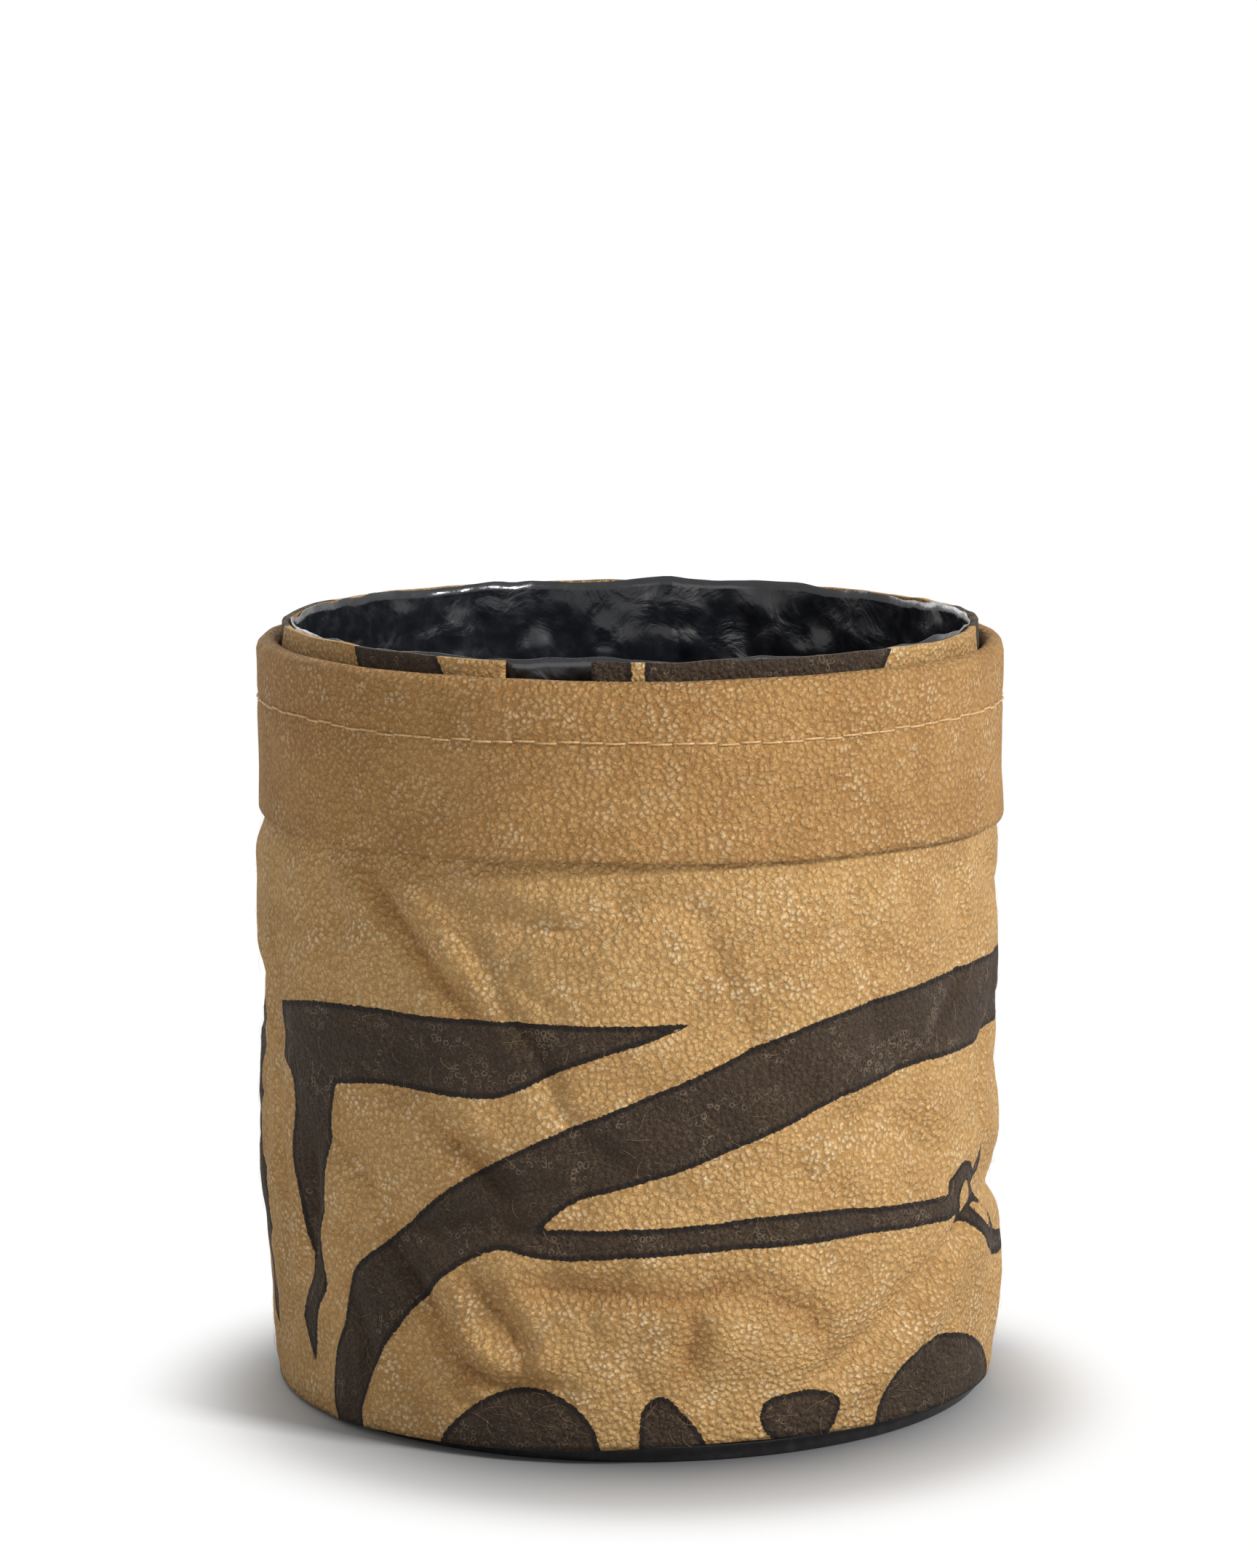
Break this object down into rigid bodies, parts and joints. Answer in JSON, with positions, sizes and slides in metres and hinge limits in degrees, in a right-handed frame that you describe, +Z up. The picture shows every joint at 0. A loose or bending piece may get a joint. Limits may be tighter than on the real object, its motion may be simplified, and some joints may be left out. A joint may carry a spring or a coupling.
{
  "type": "fabric grow bag",
  "caption": "Round printed felt grow bag with a folded plain band at its rim, an open film liner inside and a shallow saucer under it.",
  "frame": {"origin": "on the bag's axis, on the surface the object stands on", "axes": "+Z up, -Y towards the front, +X to the right seen from the front"},
  "size_m": [0.1526, 0.1526, 0.1572],
  "materials": {
    "saucer_plastic": "moulded gloss",
    "printed_felt": "pebbled tan felt with dark printed strokes",
    "plain_felt": "pebbled tan felt",
    "black_film": "crinkled polyethylene film",
    "thread": "twisted thread"
  },
  "bodies": {
    "saucer": {"saucer": "saucer_plastic"},
    "bag": {"wall_panel": "printed_felt", "base_disc": "plain_felt", "rim_band": "plain_felt", "rim_facing": "printed_felt", "rim_stitches": "thread", "rim_seam_stitches": "thread", "side_seam_stitches": "thread", "base_stitches": "thread"},
    "liner": {"film_liner": "black_film"}
  },
  "joints": [
    {"name": "bag_lift", "type": "slide", "parent": "saucer", "child": "bag", "axis": [0, 0, 1], "range_m": [0, 0.05]},
    {"name": "liner_lift", "type": "slide", "parent": "bag", "child": "liner", "axis": [0, 0, 1], "range_m": [0, 0.16]}
  ]
}
